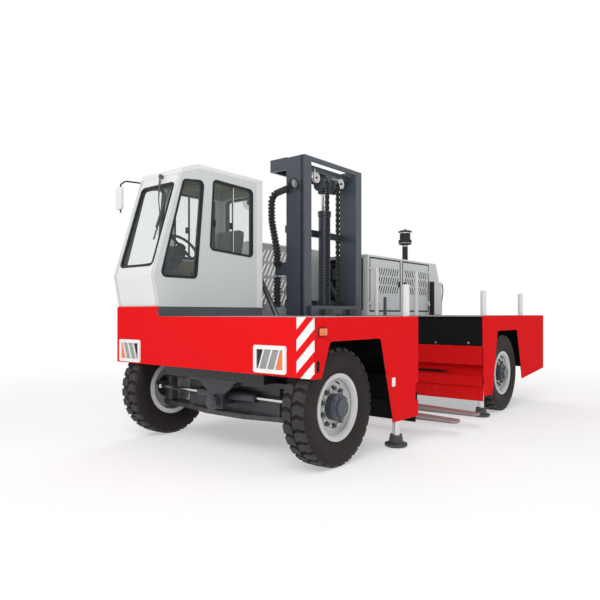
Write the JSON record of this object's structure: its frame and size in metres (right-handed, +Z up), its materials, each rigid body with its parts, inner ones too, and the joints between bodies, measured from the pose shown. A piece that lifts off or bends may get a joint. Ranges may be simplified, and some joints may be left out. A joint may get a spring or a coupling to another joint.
{
  "type": "side loader forklift",
  "caption": "Side loader forklift: flat deck chassis with a narrow cab, a reaching mast with forks in a side well, an engine hood and hydraulic stabiliser legs.",
  "frame": {"origin": "on the ground under the middle of the bounding box", "axes": "+X to the nose, +Y to the loading side, +Z up"},
  "size_m": [5.95, 3.09, 3.34],
  "materials": {
    "body_red": "gloss red paint",
    "wall_red": "red paint with black upper panels",
    "deck_grey": "worn grey chequer plate",
    "frame_black": "black chassis paint, red outer face",
    "slate": "slate grey paint",
    "fork_steel": "worn black paint over steel",
    "chrome_rod": "hard chrome",
    "lift_rod_steel": "chromed rod with painted crosshead",
    "chain_steel": "oiled leaf chain",
    "tyre": "rubber",
    "rim_grey": "light grey paint, slate hub",
    "cab_grey": "light grey paint",
    "box_grey": "light grey paint, black front",
    "glass": "clear safety glass",
    "seal_rubber": "black rubber",
    "seat_cloth": "dark cloth",
    "trim_black": "black plastic",
    "lamp_white": "white bezel with lenses",
    "post_white": "white paint",
    "engine_iron": "painted iron"
  },
  "bodies": {
    "chassis": {"air_cleaner": "trim_black", "axle_brackets": "slate", "cab_consoles": "trim_black", "cab_front": "cab_grey", "cab_glass": "glass", "cab_left": "cab_grey", "cab_plinth": "slate", "cab_rear": "cab_grey", "cab_right": "cab_grey", "cab_roof": "cab_grey", "deck_plates": "deck_grey", "deck_posts": "post_white", "engine": "engine_iron", "front_axle": "slate", "front_plate": "body_red", "front_skirts": "body_red", "head_lamps": "lamp_white", "hood_shell": "cab_grey", "main_frame": "frame_black", "mirror_arm": "trim_black", "rear_axle": "slate", "rear_panels": "body_red", "seat": "seat_cloth", "side_box": "box_grey", "side_cover": "cab_grey", "stabiliser_barrels": "slate", "steering_column": "trim_black", "well_walls": "wall_red", "window_seals": "seal_rubber"},
    "steering_rod": {"steering_rod": "chrome_rod"},
    "knuckle_left": {"knuckle_left": "slate"},
    "knuckle_right": {"knuckle_right": "slate"},
    "wheel_front_left": {"tyre_front_left": "tyre", "rim_front_left": "rim_grey"},
    "wheel_front_right": {"tyre_front_right": "tyre", "rim_front_right": "rim_grey"},
    "wheel_rear_left": {"tyre_rear_left": "tyre", "rim_rear_left": "rim_grey"},
    "wheel_rear_right": {"tyre_rear_right": "tyre", "rim_rear_right": "rim_grey"},
    "cab_door": {"cab_door": "cab_grey", "door_seal": "seal_rubber", "door_glass": "glass"},
    "hood_door_front": {"hood_door_front": "cab_grey"},
    "hood_door_rear": {"hood_door_rear": "cab_grey"},
    "stabiliser_front": {"stabiliser_leg_front": "chrome_rod"},
    "stabiliser_rear": {"stabiliser_leg_rear": "chrome_rod"},
    "mast_trolley": {"mast_trolley": "slate"},
    "tilt_barrels": {"tilt_barrels": "slate"},
    "tilt_rods": {"tilt_rods": "chrome_rod"},
    "outer_mast": {"outer_mast": "slate", "lift_barrel": "slate", "hose_guide": "trim_black", "work_lamps": "trim_black"},
    "inner_mast": {"inner_mast": "slate", "lift_rod": "lift_rod_steel", "lift_chains": "chain_steel"},
    "fork_carriage": {"fork_carriage": "slate", "forks": "fork_steel"}
  },
  "joints": [
    {"name": "steer_left", "type": "hinge", "parent": "chassis", "child": "knuckle_left", "pos_m": [2.43, 1.07, 0.525], "axis": [0, 0, 1], "range_deg": [-35, 35]},
    {"name": "steer_right", "type": "hinge", "parent": "chassis", "child": "knuckle_right", "pos_m": [2.43, -1.07, 0.525], "axis": [0, 0, 1], "range_deg": [-35, 35]},
    {"name": "steer_rod", "type": "slide", "parent": "chassis", "child": "steering_rod", "axis": [0, 1, 0], "range_m": [-0.0865, 0.0865]},
    {"name": "spin_front_left", "type": "hinge", "parent": "knuckle_left", "child": "wheel_front_left", "pos_m": [2.43, 1.145, 0.525], "axis": [0, 1, 0], "continuous": true},
    {"name": "spin_front_right", "type": "hinge", "parent": "knuckle_right", "child": "wheel_front_right", "pos_m": [2.43, -1.145, 0.525], "axis": [0, 1, 0], "continuous": true},
    {"name": "spin_rear_left", "type": "hinge", "parent": "chassis", "child": "wheel_rear_left", "pos_m": [-1.41, 1.185, 0.525], "axis": [0, 1, 0], "continuous": true},
    {"name": "spin_rear_right", "type": "hinge", "parent": "chassis", "child": "wheel_rear_right", "pos_m": [-1.41, -1.185, 0.525], "axis": [0, 1, 0], "continuous": true},
    {"name": "door_swing", "type": "hinge", "parent": "chassis", "child": "cab_door", "pos_m": [2.262, -1.384, 2.1], "axis": [0, 0, 1], "range_deg": [0, 85]},
    {"name": "hood_front_swing", "type": "hinge", "parent": "chassis", "child": "hood_door_front", "pos_m": [-0.578, -0.323, 1.77], "axis": [0, 0, -1], "range_deg": [0, 90]},
    {"name": "hood_rear_swing", "type": "hinge", "parent": "chassis", "child": "hood_door_rear", "pos_m": [-2.392, -0.323, 1.77], "axis": [0, 0, 1], "range_deg": [0, 90]},
    {"name": "stabiliser_front_lift", "type": "slide", "parent": "chassis", "child": "stabiliser_front", "axis": [0, 0, 1], "range_m": [0, 0.28]},
    {"name": "stabiliser_rear_lift", "type": "slide", "parent": "chassis", "child": "stabiliser_rear", "axis": [0, 0, 1], "range_m": [0, 0.28]},
    {"name": "mast_reach", "type": "slide", "parent": "chassis", "child": "mast_trolley", "axis": [0, 1, 0], "range_m": [0, 1.25]},
    {"name": "mast_tilt", "type": "hinge", "parent": "mast_trolley", "child": "outer_mast", "pos_m": [0.335, -0.46, 0.56], "axis": [1, 0, 0], "range_deg": [-3, 5]},
    {"name": "tilt_barrel_swing", "type": "hinge", "parent": "mast_trolley", "child": "tilt_barrels", "pos_m": [0.335, -1.001, 1.155], "axis": [1, 0, 0], "range_deg": [-0.41, 0.25]},
    {"name": "tilt_rod_slide", "type": "slide", "parent": "tilt_barrels", "child": "tilt_rods", "axis": [0, 0.9625, 0.2713], "range_m": [-0.0629, 0.0378]},
    {"name": "mast_lift", "type": "slide", "parent": "outer_mast", "child": "inner_mast", "axis": [0, 0, 1], "range_m": [0, 1.7]},
    {"name": "fork_lift", "type": "slide", "parent": "inner_mast", "child": "fork_carriage", "axis": [0, 0, 1], "range_m": [0, 1.7], "deforming": ["lift_chains"]}
  ],
  "couplings": [
    {"joint": "steer_right", "follows": "steer_left", "ratio": 1},
    {"joint": "steer_rod", "follows": "steer_left", "m_per_rad": 0.1408},
    {"joint": "tilt_barrel_swing", "follows": "mast_tilt", "ratio": -0.0675},
    {"joint": "tilt_rod_slide", "follows": "mast_tilt", "m_per_rad": -0.719},
    {"joint": "fork_lift", "follows": "mast_lift", "ratio": 1}
  ]
}
